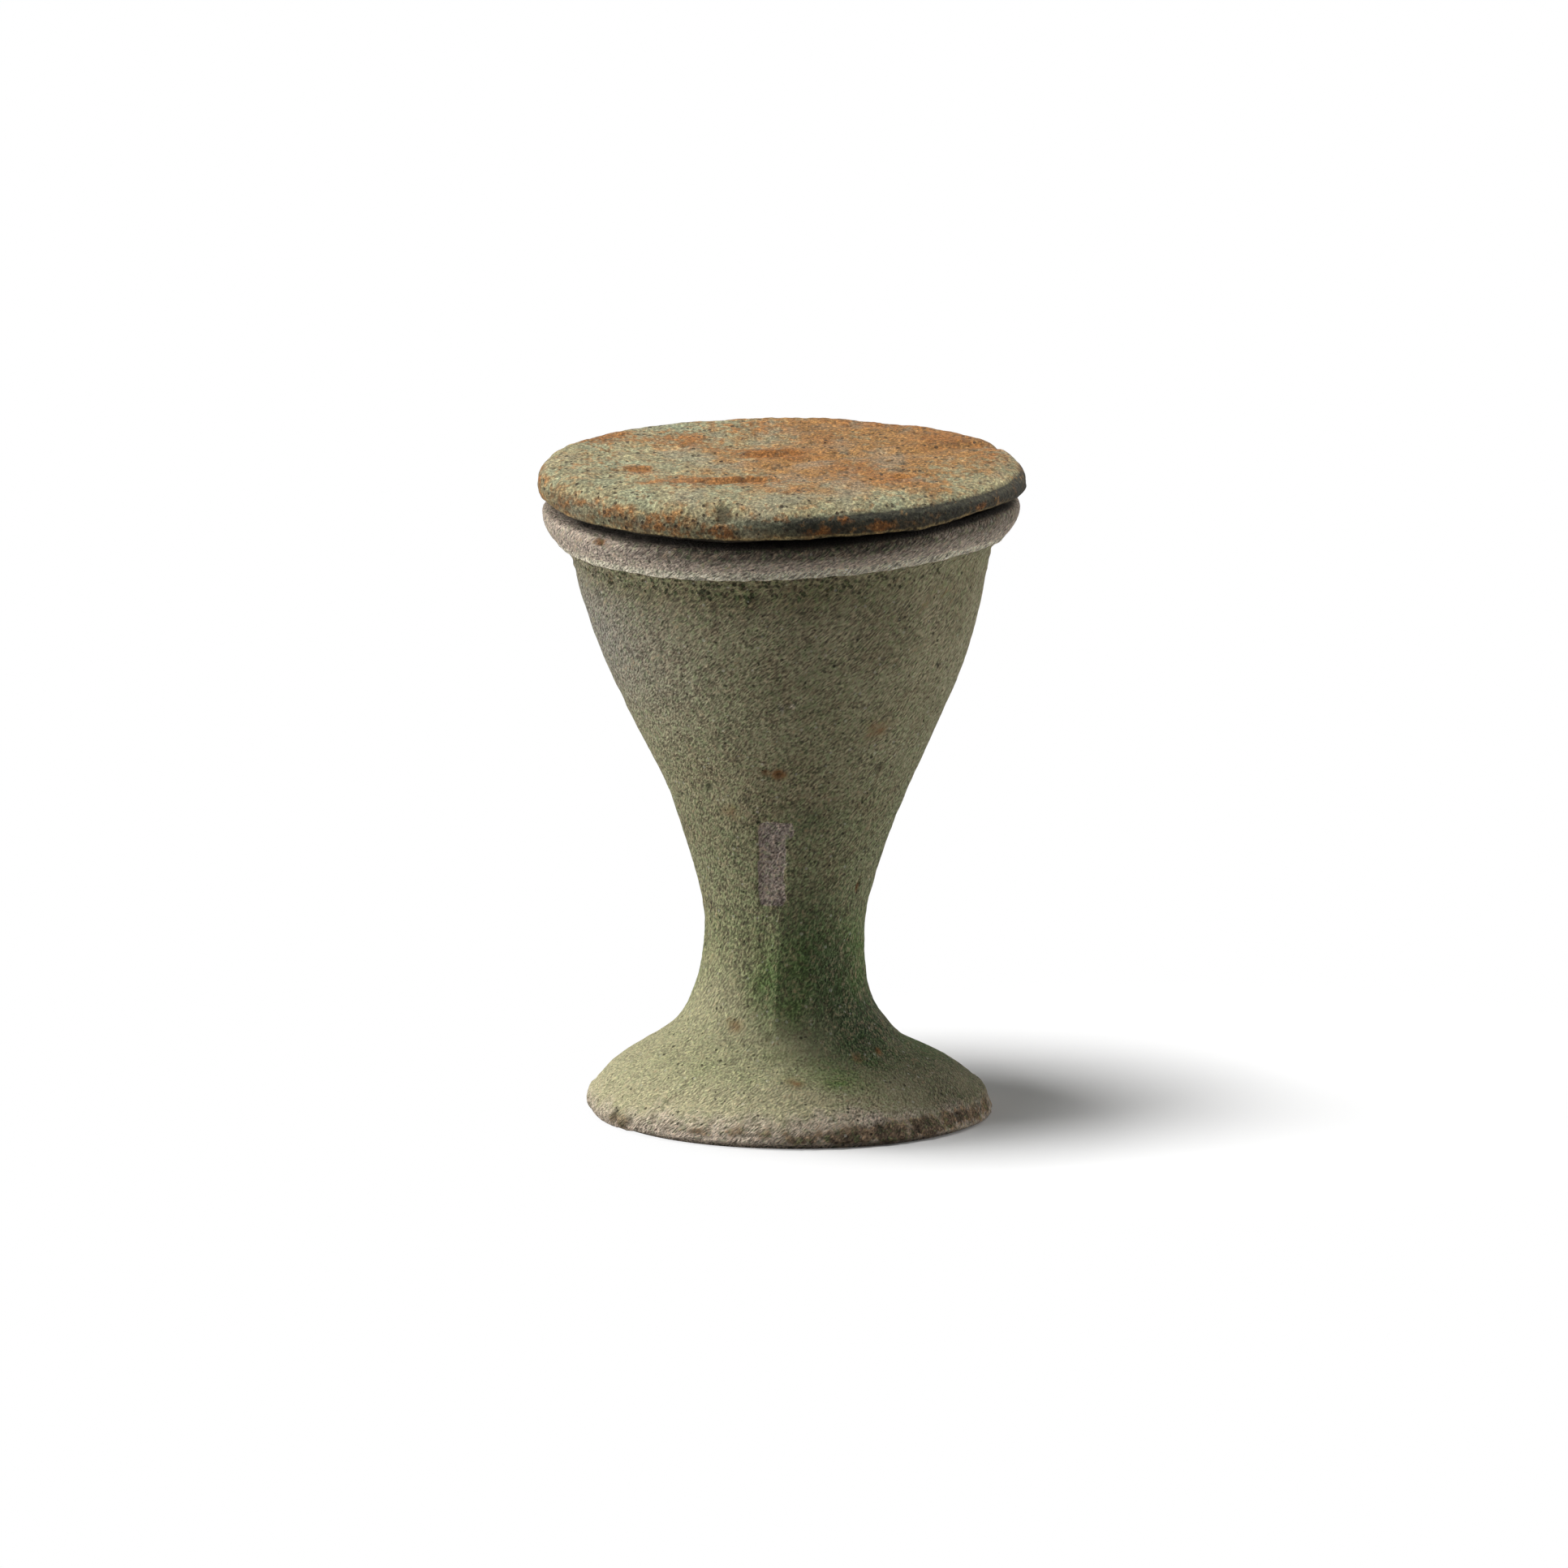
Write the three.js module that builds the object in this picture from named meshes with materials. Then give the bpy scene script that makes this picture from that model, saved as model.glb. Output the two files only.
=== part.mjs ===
// Lidded offering cup: a hand-shaped, footed cup of glazed faience and its loose disc lid.
// Millimetres, +Z up. The origin is on the standing plane, under the middle of the mouth.
// The front of the cup faces -Y.
import * as THREE from "three";
import { mergeVertices } from "three/addons/utils/BufferGeometryUtils.js";

// Foot
const footRadius = 24.95; // widest part of the rounded edge
const footWidestHeight = 1.9;
const footEdgeHeight = 3.2; // where the edge turns into the slope
const footShoulderInset = 0.55;
const footRestOuterRadius = 23.3;
const footRestInnerRadius = 17.6;
const footHollowDepth = 2.7;

// Stem
const waistRadius = 9.95;
const waistHeight = 22.2;
const stemArrisHeight = 0.45; // soft upright ridge down the front of the stem

// Bowl
const neckRadius = 25.65; // in the groove under the rim band
const bowlWall = 5;
const bowlFloorHeight = 31; // the stem is solid below this
const bowlFloorRadius = 8;

// Rim band
const cupHeight = 76.95; // top of the rim, where the lid rests
const rimBandHeight = 6.45;
const rimRadius = 29.35;
const rimWall = 5.9;
const mouthDepth = 3.4; // straight part of the mouth, which guides the lid
const mouthEdgeRound = 0.6;

// Lid
const lidRadius = 30.05;
const lidThickness = 4.65;
const lidEdgeFlat = 0.9; // upright stretch in the middle of the rounded edge
const lidLowerRound = 1.5;
const lidUpperRound = 1.9;
const bossDepth = 2.4; // round step under the lid, which keeps it in the mouth
const bossClearance = 0.8;
const bossEdgeRound = 0.7;

// Uneven making: the rings of the groove and of the foot's edge rise towards the front
const grooveRise = 1.6;
const footEdgeRise = 1.6;

// Curve handles, as shares of the drop and of the change in radius between a curve's two ends
const footCurveShares = { edgeIn: 0.34, edgeUp: 0.33, waistDown: 0.76 };
const bowlCurveShares = { waistUp: 0.33, neckIn: 0.08, neckDown: 0.33 };

// The rim band's outline from the groove up: share of its height, share of its overhang
const rimBandShares = [
  [0.1, 0.24],
  [0.22, 0.44],
  [0.31, 0.62],
  [0.42, 0.8],
  [0.57, 0.94],
  [0.75, 1],
  [0.9, 0.95],
  [1, 0.72],
];

// How the body wanders from a straight axis: share of the cup's height, share of the waist radius
const leanShares = [
  [0, 0.2],
  [0.02, 0.09],
  [0.045, 0.07],
  [0.08, 0],
  [0.115, -0.08],
  [0.155, 0],
  [0.2, -0.01],
  [0.29, 0.03],
  [0.4, 0.055],
  [0.52, 0.078],
  [0.64, 0.053],
  [0.75, 0.025],
  [0.83, 0],
  [0.91, -0.02],
  [0.94, -0.07],
  [0.97, -0.015],
  [1, 0],
];

// The stem's ridge: its middle and half width round the stem in degrees, and its ends as shares
// of the waist's height
const stemArrisTurn = -4;
const stemArrisSpread = 20;
const stemArrisShares = { foot: 0.45, full: 0.75, fade: 1.1, top: 1.35 };

// Facets
const turnSteps = 64;
const bowlSteps = 15;
const footSlopeSteps = 11;
const curveSteps = 8;
const shortCurveSteps = 4;

const neckHeight = cupHeight - rimBandHeight;
const mouthRadius = rimRadius - rimWall;

function point(radius, height) {
  return new THREE.Vector2(radius, height);
}

// Join curves end to end into one profile, each with its own number of steps.
function joinCurves(pieces) {
  const profile = [];
  for (const [curve, steps] of pieces) {
    const points = curve.getPoints(steps);
    profile.push(...points.slice(profile.length > 0 ? 1 : 0));
  }
  return profile;
}

// A rounded corner between two points, with the sharp corner that it takes off.
function roundCorner(from, corner, to) {
  return new THREE.QuadraticBezierCurve(from, corner, to);
}

function rimBandPoint([heightShare, overhangShare]) {
  const radius = neckRadius + overhangShare * (rimRadius - neckRadius);
  return point(radius, neckHeight + heightShare * rimBandHeight);
}

function cupProfile() {
  const shoulder = point(footRadius - footShoulderInset, footEdgeHeight);
  const widest = point(footRadius, footWidestHeight);
  const restOuter = point(footRestOuterRadius, 0);
  const restInner = point(footRestInnerRadius, 0);
  const waist = point(waistRadius, waistHeight);
  const neck = point(neckRadius, neckHeight);
  const hollowTop = point(0, footHollowDepth);

  const flare = shoulder.x - waist.x;
  const flareHeight = waist.y - shoulder.y;
  const swell = neck.x - waist.x;
  const swellHeight = neck.y - waist.y;

  const footSlope = new THREE.CubicBezierCurve(
    shoulder,
    point(shoulder.x - footCurveShares.edgeIn * flare, shoulder.y + footCurveShares.edgeUp * flareHeight),
    point(waist.x, waist.y - footCurveShares.waistDown * flareHeight),
    waist,
  );
  const bowlLip = point(
    neck.x - bowlCurveShares.neckIn * swell,
    neck.y - bowlCurveShares.neckDown * swellHeight,
  );
  const bowlSide = new THREE.CubicBezierCurve(
    waist,
    point(waist.x, waist.y + bowlCurveShares.waistUp * swellHeight),
    bowlLip,
    neck,
  );

  const rimBand = rimBandShares.map(rimBandPoint);
  const seatInner = point(mouthRadius + mouthEdgeRound, cupHeight);
  const mouthTop = point(mouthRadius, cupHeight - mouthEdgeRound);
  const mouthFoot = point(mouthRadius, cupHeight - mouthDepth);
  const wellSide = new THREE.CubicBezierCurve(
    mouthFoot,
    point(bowlLip.x - bowlWall, bowlLip.y),
    point(bowlFloorRadius, bowlFloorHeight),
    point(0, bowlFloorHeight),
  );

  return joinCurves([
    [roundCorner(hollowTop, point(footRestInnerRadius / 2, footHollowDepth), restInner), shortCurveSteps],
    [new THREE.LineCurve(restInner, restOuter), 1],
    [roundCorner(restOuter, point(footRadius, 0), widest), shortCurveSteps],
    [roundCorner(widest, point(footRadius, footEdgeHeight), shoulder), shortCurveSteps],
    [footSlope, footSlopeSteps],
    [bowlSide, bowlSteps],
    [new THREE.SplineCurve([neck, ...rimBand]), curveSteps],
    [new THREE.LineCurve(rimBand.at(-1), seatInner), 1],
    [roundCorner(seatInner, point(mouthRadius, cupHeight), mouthTop), 2],
    [new THREE.LineCurve(mouthTop, mouthFoot), 1],
    [wellSide, curveSteps],
  ]);
}

function lidProfile() {
  const bossRadius = mouthRadius - bossClearance;
  const seat = cupHeight;
  const top = seat + lidThickness;
  const bossFoot = seat - bossDepth;
  const edgeLow = seat + lidLowerRound;
  const bossEdge = point(bossRadius - bossEdgeRound, bossFoot);
  const bossSide = point(bossRadius, bossFoot + bossEdgeRound);
  const bossRoot = point(bossRadius, seat);
  const seatEdge = point(lidRadius - lidLowerRound, seat);
  const sideLow = point(lidRadius, edgeLow);
  const sideHigh = point(lidRadius, edgeLow + lidEdgeFlat);
  const topEdge = point(lidRadius - lidUpperRound, top);

  return joinCurves([
    [new THREE.LineCurve(point(0, bossFoot), bossEdge), 1],
    [roundCorner(bossEdge, point(bossRadius, bossFoot), bossSide), 2],
    [new THREE.LineCurve(bossSide, bossRoot), 1],
    [new THREE.LineCurve(bossRoot, seatEdge), 1],
    [roundCorner(seatEdge, point(lidRadius, seat), sideLow), shortCurveSteps],
    [new THREE.LineCurve(sideLow, sideHigh), 1],
    [roundCorner(sideHigh, point(lidRadius, top), topEdge), shortCurveSteps],
    [new THREE.LineCurve(topEdge, point(0, top)), 1],
  ]);
}

// Turn a profile round +Z and join its seam and its two poles into one closed skin.
function turnProfile(profile) {
  const turned = new THREE.LatheGeometry(profile, turnSteps);
  turned.rotateX(Math.PI / 2);
  turned.deleteAttribute("normal");
  turned.deleteAttribute("uv");
  const joined = mergeVertices(turned);
  const corners = joined.index.array;
  const faces = [];
  for (let i = 0; i < corners.length; i += 3) {
    const [a, b, c] = corners.slice(i, i + 3);
    if (a !== b && b !== c && c !== a) {
      faces.push(a, b, c);
    }
  }
  joined.setIndex(faces);
  return joined;
}

// 0 at the sides and the back, growing to 1 at the very front of a ring of this radius.
function frontness(y, ringRadius) {
  return Math.max(0, -y / ringRadius) ** 2;
}

// 0 outside the span, 1 between its two inner marks.
function window(height, start, full, fade, end) {
  const rise = THREE.MathUtils.smoothstep(height, start, full);
  const fall = THREE.MathUtils.smoothstep(height, fade, end);
  return rise * (1 - fall);
}

// Move each point of the turned cup as the maker's hands left it.
function shapeByHand(geometry) {
  const lean = new THREE.CubicInterpolant(
    leanShares.map(([heightShare]) => heightShare * cupHeight),
    leanShares.map(([, offsetShare]) => offsetShare * waistRadius),
    1,
  );
  const arrisTurn = THREE.MathUtils.degToRad(stemArrisTurn);
  const arrisSpread = THREE.MathUtils.degToRad(stemArrisSpread);
  const arris = stemArrisShares;
  const places = geometry.attributes.position;
  for (let i = 0; i < places.count; i++) {
    const x = places.getX(i);
    const y = places.getY(i);
    const z = places.getZ(i);
    const radius = Math.hypot(x, y);
    const turn = Math.atan2(x, -y); // 0 at the front, positive towards +X

    const groove = window(z, cupHeight - 2.5 * rimBandHeight, neckHeight, neckHeight, cupHeight);
    const edge = window(z, 0, footEdgeHeight, footEdgeHeight, waistHeight / 2);
    const grooveLift = grooveRise * groove * frontness(y, neckRadius);
    const edgeLift = footEdgeRise * edge * frontness(y, footRadius);
    const ridge = window(
      z,
      arris.foot * waistHeight,
      arris.full * waistHeight,
      arris.fade * waistHeight,
      arris.top * waistHeight,
    );
    const offRidge = (turn - arrisTurn) / arrisSpread;
    const grown = radius + stemArrisHeight * ridge * Math.exp(-offRidge * offRidge);
    places.setXYZ(
      i,
      grown * Math.sin(turn) + lean.evaluate(z)[0],
      -grown * Math.cos(turn),
      z + grooveLift + edgeLift,
    );
  }
}

function makeCup() {
  const geometry = turnProfile(cupProfile());
  shapeByHand(geometry);
  geometry.computeVertexNormals();
  const faience = new THREE.MeshStandardMaterial({ color: "#8d8a72", roughness: 0.75, metalness: 0 });
  const cup = new THREE.Mesh(geometry, faience);
  cup.name = "cup";
  return cup;
}

function makeLid() {
  const geometry = turnProfile(lidProfile());
  geometry.computeVertexNormals();
  const faience = new THREE.MeshStandardMaterial({ color: "#a08a68", roughness: 0.65, metalness: 0 });
  const lid = new THREE.Mesh(geometry, faience);
  lid.name = "lid";
  return lid;
}

const group = new THREE.Group();
group.add(makeCup(), makeLid());

export default group;
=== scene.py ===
import math
from types import SimpleNamespace

import bpy
import numpy as np
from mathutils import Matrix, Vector, noise


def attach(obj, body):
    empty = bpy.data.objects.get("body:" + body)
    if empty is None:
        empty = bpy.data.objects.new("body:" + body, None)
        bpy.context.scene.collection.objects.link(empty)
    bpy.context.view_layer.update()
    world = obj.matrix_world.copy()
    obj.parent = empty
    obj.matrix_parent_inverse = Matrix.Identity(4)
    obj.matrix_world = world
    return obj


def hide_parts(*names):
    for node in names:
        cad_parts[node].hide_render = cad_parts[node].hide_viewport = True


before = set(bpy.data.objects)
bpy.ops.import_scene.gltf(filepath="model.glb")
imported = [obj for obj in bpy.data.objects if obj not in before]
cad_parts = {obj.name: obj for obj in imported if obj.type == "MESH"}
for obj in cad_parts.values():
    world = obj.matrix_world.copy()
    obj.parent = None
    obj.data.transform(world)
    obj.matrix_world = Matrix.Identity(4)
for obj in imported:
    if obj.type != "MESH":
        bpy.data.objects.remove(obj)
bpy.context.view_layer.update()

# All forms are worked out in millimetres and written to the meshes in metres.
# A turn is an angle round the upright axis: 0 at the front, positive towards +X.
mm = 0.001


# Shared helpers: curves and marks

def smoothStep(low, high, value):
    t = np.clip((value - low) / (high - low), 0, 1)
    return t * t * (3 - 2 * t)


def bezier(start, leave, arrive, end, steps=120):
    t = np.linspace(0, 1, steps)[:, None]
    start, leave, arrive, end = (np.array(p, float) for p in (start, leave, arrive, end))
    return (1 - t) ** 3 * start + 3 * (1 - t) ** 2 * t * leave + 3 * (1 - t) * t ** 2 * arrive + t ** 3 * end


def corner(start, sharp, end):
    # a rounded corner between two points, given the sharp corner that it takes off
    start, sharp, end = (np.array(p, float) for p in (start, sharp, end))
    return bezier(start, start + (sharp - start) * 2 / 3, end + (sharp - end) * 2 / 3, end)


def straight(start, end):
    return np.linspace(np.array(start, float), np.array(end, float), 30)


def smoothPath(marks, steps=160):
    # an even curve through a list of (radius, height) marks
    marks = np.array(marks, float)
    along = np.concatenate([[0], np.cumsum(np.hypot(*np.diff(marks, axis=0).T))])
    at = np.linspace(0, along[-1], steps)
    slopes = np.gradient(marks, along, axis=0)
    i = np.clip(np.searchsorted(along, at, side="right") - 1, 0, len(marks) - 2)
    gap = (along[i + 1] - along[i])[:, None]
    t = (at - along[i])[:, None] / gap
    return (
        (2 * t ** 3 - 3 * t ** 2 + 1) * marks[i] + (t ** 3 - 2 * t ** 2 + t) * gap * slopes[i]
        + (3 * t ** 2 - 2 * t ** 3) * marks[i + 1] + (t ** 3 - t ** 2) * gap * slopes[i + 1]
    )


def inDegrees(turn):
    return np.degrees(np.mod(turn + math.pi, 2 * math.pi) - math.pi)


def softened(padded):
    # a running average over 13 steps either way
    return np.convolve(padded, np.hanning(27)[1:-1] / 13, mode="valid")


def roundTheTurn(turn, marks):
    # a value that changes round the axis, from marks of (degrees from the front, value)
    fine = np.arange(-180, 181)
    values = np.interp(fine, [m[0] for m in marks], [m[1] for m in marks])
    soft = softened(np.concatenate([values[-13:-1], values, values[1:13]]))
    return np.interp(inDegrees(turn), fine, soft)


def alongHeight(height, marks, column):
    # a value that changes with height, from rows of marks whose first entry is the height
    fine = np.arange(-2, 92, 0.1)
    values = np.interp(fine, [m[0] for m in marks], [m[column] for m in marks])
    return np.interp(height, fine, softened(np.pad(values, 12, mode="edge")))


def spacedRows(stretches):
    # each stretch is (points, row spacing in mm); returns radius, height and outward normal per row
    path, travelled = [stretches[0][0][:1]], [np.zeros(1)]
    for curve, spacing in stretches:
        steps = np.hypot(*np.diff(curve, axis=0).T) / spacing
        path.append(curve[1:])
        travelled.append(travelled[-1][-1] + np.cumsum(steps))
    path, travelled = np.vstack(path), np.concatenate(travelled)
    at = np.linspace(0, travelled[-1], int(round(travelled[-1])) + 1)
    radius = np.interp(at, travelled, path[:, 0])
    height = np.interp(at, travelled, path[:, 1])
    along = np.stack([np.gradient(radius), np.gradient(height)])
    along /= np.maximum(np.hypot(*along), 1e-9)
    return radius, height, along[1], -along[0]


# Shared helpers: the points of a turned piece

def turnedPoints(radius, height, turns):
    # one row of points for each point of the profile, with how far each faces the front and +X
    turn = np.linspace(0, 2 * math.pi, turns, endpoint=False)
    r = np.repeat(radius[:, None], turns, 1)
    z = np.repeat(height[:, None], turns, 1)
    t = np.repeat(turn[None, :], len(radius), 0)
    return SimpleNamespace(
        r=r, z=z, t=t, x=r * np.sin(t), y=-r * np.cos(t), front=np.maximum(0, np.cos(t)), side=np.sin(t),
        rows=np.arange(len(radius)), profileRadius=radius, profileHeight=height,
    )


def wholeRows(chosen, p):
    return chosen[:, None] * np.ones_like(p.r)


def raised(p, lift, outR, outZ):
    # moves each point outwards along the profile's normal
    out = p.r + lift * outR[:, None]
    return out * np.sin(p.t), -out * np.cos(p.t), p.z + lift * outZ[:, None]


def pushed(x, y, turn, distance):
    return x + distance * np.sin(turn), y - distance * np.cos(turn)


def cloud(p, size, octaves, seed, stretch=(1, 1, 1)):
    # soft lumps about `size` mm across, from about -1 to 1
    places = np.stack([p.x / stretch[0], p.y / stretch[1], p.z / stretch[2]], -1).reshape(-1, 3) / size
    places += np.array([17.3, 5.1, 9.7]) * seed
    values = [noise.fractal(Vector(place), 1.0, 2.0, octaves) for place in places.tolist()]
    return np.array(values).reshape(p.r.shape)


def acrossFrom(p, markTurn):
    # distance round the surface from a marked turn, in mm
    return (np.mod(p.t - math.radians(markTurn) + math.pi, 2 * math.pi) - math.pi) * p.r


def spot(p, markTurn, markHeight, wide, tall):
    # a soft round patch, 1 in its middle
    return np.exp(-(acrossFrom(p, markTurn) / wide) ** 2 - ((p.z - markHeight) / tall) ** 2)


def spots(p, marks):
    return sum(strength * spot(p, *mark) for *mark, strength in marks)


def ring(height, middle, half):
    # a soft line round the piece, 1 along its middle
    return np.exp(-((height - middle) / half) ** 2)


def placeObject(name, data):
    placed = bpy.data.objects.new(name, data)
    bpy.context.scene.collection.objects.link(placed)
    return placed


def turnedMesh(name, x, y, z, masks):
    # closed skin over a grid of rows (bottom pole to top pole) and turns, with one mask value per point
    rows, turns = x.shape
    points = np.stack([x, y, z], -1)
    coordinates = np.vstack([points[1:-1].reshape(-1, 3), points[0].mean(0), points[-1].mean(0)]) * mm
    inner = rows - 2
    low, high = inner * turns, inner * turns + 1
    column = np.arange(turns)
    following = (column + 1) % turns
    row = np.arange(inner - 1)[:, None] * turns
    quads = np.stack([row + column, row + following, row + turns + following, row + turns + column], -1)
    top = (inner - 1) * turns
    faces = quads.reshape(-1, 4).tolist()
    faces += np.stack([following, column, np.full(turns, low)], -1).tolist()
    faces += np.stack([top + column, top + following, np.full(turns, high)], -1).tolist()
    mesh = bpy.data.meshes.new(name)
    mesh.from_pydata(coordinates.tolist(), [], faces)
    mesh.shade_smooth()
    for maskName, values in masks.items():
        flat = np.concatenate([values[1:-1].ravel(), [values[0].mean(), values[-1].mean()]])
        layer = mesh.attributes.new(maskName, "FLOAT", "POINT")
        layer.data.foreach_set("value", flat.astype(np.float32))
    mesh.validate()
    print(name, "triangles", 2 * turns * inner)
    return placeObject(name, mesh)


# Shared helpers: finishing steps that both faience materials use

def toLinear(hexColour):
    channels = [int(hexColour[i:i + 2], 16) / 255 for i in (1, 3, 5)]
    linear = [c / 12.92 if c <= 0.04045 else ((c + 0.055) / 1.055) ** 2.4 for c in channels]
    return (*linear, 1.0)


def addNode(material, kind, inputs=None, **settings):
    # adds a node, sets its fields, and gives each input a value or a link
    tree = material.node_tree
    node = tree.nodes.new(kind)
    for name, value in settings.items():
        setattr(node, name, value)
    for key, value in (inputs or {}).items():
        if isinstance(value, bpy.types.NodeSocket):
            tree.links.new(value, node.inputs[key])
        else:
            node.inputs[key].default_value = value
    return node


def emptyMaterial(name):
    material = bpy.data.materials.new(name)
    material.use_nodes = True
    material.node_tree.nodes.clear()
    return material


def frayedLayers(material, colour, pattern, layers):
    # lays each tint where its mask is, with a border that the pattern frays
    for maskName, tint, soft, fray, amount in layers:
        there = addNode(material, "ShaderNodeAttribute", attribute_type="GEOMETRY", attribute_name=maskName)
        frayed = addNode(material, "ShaderNodeMath", {0: pattern, 1: fray, 2: there.outputs["Fac"]},
                         operation="MULTIPLY_ADD")
        share = addNode(material, "ShaderNodeMapRange", {
            "Value": frayed.outputs[0], "From Min": 0.5 - soft, "From Max": 0.5 + soft, "To Max": amount,
        })
        mixed = addNode(material, "ShaderNodeMix", {0: share.outputs[0], 6: colour, 7: toLinear(tint)},
                        data_type="RGBA")
        colour = mixed.outputs[2]
    return colour


def noiseLayer(material, colour, pattern, tint, low, high, amount):
    # lays a tint where a pattern passes from low to high
    share = addNode(material, "ShaderNodeMapRange", {
        "Value": pattern, "From Min": low, "From Max": high, "To Max": amount,
    })
    mixed = addNode(material, "ShaderNodeMix", {0: share.outputs[0], 6: colour, 7: toLinear(tint)},
                    data_type="RGBA")
    return mixed.outputs[2]


def shadeByGrain(material, colour, pattern, spread):
    # darkens the hollows of a pattern and lightens its tops by the same step, and keeps the hue;
    # most of a noise pattern lies between 0.3 and 0.7
    height = addNode(material, "ShaderNodeMapRange", {
        "Value": pattern, "From Min": 0.3, "From Max": 0.7, "To Min": -1.0, "To Max": 1.0,
    })
    level = addNode(material, "ShaderNodeMath", {0: spread, 1: height.outputs[0]}, operation="POWER")
    shaded = addNode(material, "ShaderNodeHueSaturation", {"Value": level.outputs[0], "Color": colour})
    return shaded.outputs[0]


def openPores(material, place, spacing, chance, widest=0.42, border=0.07):
    # 1 inside small round bubbles of different sizes, in some of the cells of the given spacing;
    # the widest radius and the soft border are shares of a cell
    cells = addNode(material, "ShaderNodeTexVoronoi", {"Vector": place, "Scale": 1 / (spacing * mm)})
    pick = addNode(material, "ShaderNodeSeparateColor", {0: cells.outputs["Color"]})
    reach = addNode(material, "ShaderNodeMapRange", {
        "Value": pick.outputs[0], "From Min": 1 - chance, "From Max": 1.0, "To Max": widest,
    })
    inside = addNode(material, "ShaderNodeMath", {0: reach.outputs[0], 1: cells.outputs["Distance"]},
                     operation="SUBTRACT")
    bubbles = addNode(material, "ShaderNodeMapRange", {"Value": inside.outputs[0], "From Max": border})
    return bubbles.outputs[0]


def matteGlaze(material, colour, grain, mottle, bubbles, look):
    # closes a faience material: grainy relief with open bubbles, very little shine
    relief = addNode(material, "ShaderNodeMath", {0: mottle, 1: look["mottleRelief"], 2: grain},
                     operation="MULTIPLY_ADD")
    relief = addNode(material, "ShaderNodeMath", {0: bubbles, 1: -0.5, 2: relief.outputs[0]},
                     operation="MULTIPLY_ADD")
    bump = addNode(material, "ShaderNodeBump", {
        "Strength": 1.0, "Distance": look["reliefDepth"] * mm, "Height": relief.outputs[0],
    })
    surface = addNode(material, "ShaderNodeBsdfPrincipled", {
        "Base Color": colour, "Roughness": look["roughness"], "Specular IOR Level": look["specular"],
        "Normal": bump.outputs[0],
    })
    addNode(material, "ShaderNodeOutputMaterial", {"Surface": surface.outputs[0]})
    return material


# The cup: bowl, rim band, stem and foot in one piece of faience

cup = {
    "turns": 360,
    "outerSpacing": 0.5,
    "innerSpacing": 1.6,
    "footRadius": 24.95,
    "footWidestHeight": 1.9,
    "footEdgeHeight": 3.2,
    "footShoulderInset": 0.55,
    "restOuterRadius": 23.8,
    "restInnerRadius": 17.6,
    "hollowDepth": 2.7,
    "waistRadius": 9.95,
    "waistHeight": 22.2,
    "neckRadius": 25.65,
    "neckHeight": 70.5,
    "rimHeight": 76.95,
    "mouthRadius": 23.45,
    "mouthDepth": 3.4,
    "mouthRound": 0.6,
    "wall": 5.0,
    "floorHeight": 31.0,
    "floorRadius": 8.0,
    # the band from the groove up: soft fillet, sloping under side, full edge, top falling away outwards
    "band": [
        (25.85, 70.35), (26.05, 70.75), (26.45, 71.15), (27.05, 71.6), (27.7, 72.1), (28.35, 72.7),
        (28.9, 73.5), (29.25, 74.3), (29.4, 75.0), (29.32, 75.5), (29.0, 75.9), (28.4, 76.2), (27.6, 76.5),
        (26.6, 76.77), (25.7, 76.92), (25.0, 76.95),
    ],
    "arris": {"height": 0.75, "turn": -3, "spread": 6},
    # the foot's edge rises towards the front, leans back there and is worn below
    "edgeRise": 1.6,
    "edgeLean": 2.3,
    "edgeWear": 0.6,
    # how far the lip and the top corner of the band stand above their level at the back: degrees, mm
    "lipRise": [
        (-180, -0.1), (-130, -0.1), (-90, 0.0), (-69, 0.0), (-50, 0.05), (-33, 0.15), (-17, 0.15),
        (0, 0.55), (15, 0.8), (29, 1.1), (48, 1.5), (65, 1.3), (90, 0.6), (130, 0.2), (180, -0.1),
    ],
    "topRise": [
        (-180, 0.2), (-90, 0.3), (-66, 0.15), (-54, -0.15), (-40, -0.35), (-17, -0.2), (0, 0.05), (15, 0.4),
        (43, 0.9), (60, 1.3), (78, 1.0), (90, 0.8), (130, 0.3), (180, 0.2),
    ],
    # how the body wanders from a true turned form: height, shift towards +X, growth in radius
    "wander": [
        (-2, 2.9, 0.1), (0, 1.7, 0), (1.3, 0.72, -0.1), (3.6, 0.6, -0.6), (6.2, 0.02, -0.22),
        (8.4, -0.66, -0.4), (9.9, -0.3, -0.24), (11.6, -0.08, -0.22), (15.6, -0.1, -0.08), (20.7, 0.2, -0.05),
        (23.1, 0.33, -0.17), (25.6, 0.4, -0.13), (28, 0.45, 0), (30.6, 0.48, 0.08), (33, 0.55, 0.16),
        (35.4, 0.6, 0.2), (37.8, 0.65, 0.14), (40, 0.75, 0), (42.7, 0.71, -0.09), (47.6, 0.55, 0.02),
        (54.9, 0.36, -0.04), (57.6, 0.3, -0.06), (60, 0.16, -0.15), (62.2, 0.05, -0.18), (64.7, -0.05, -0.1),
        (70, -0.17, 0.1), (72.3, -0.2, -0.08), (74.6, -0.15, 0), (77, 0, 0), (90, 0, 0),
    ],
    # the pale line under the band, with a painted highlight on it, and the ridge that carries it: middle
    # height, half height
    "paleLineAndPaintedHighlight": (72.1, 0.36),
    "ledgeRidge": (71.9, 0.33),
    # the small upright patch where the glaze is gone: middle, half size, rounding
    "patch": ((-1.75, 33.4), (1.6, 5.6), 0.7),
    "patchHead": ((-1.35, 38.0), (2.1, 1.1), 0.7),
    "patchDepth": 0.32,
    # share of full green glaze: height, share
    "greenHeights": [0, 5, 9, 14, 22, 30, 38, 46, 56, 66, 70],
    "greenShares": [0.1, 0.35, 0.6, 0.8, 0.8, 0.75, 0.7, 0.5, 0.35, 0.25, 0.3],
    "scatteredPits": 110,
}

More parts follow.
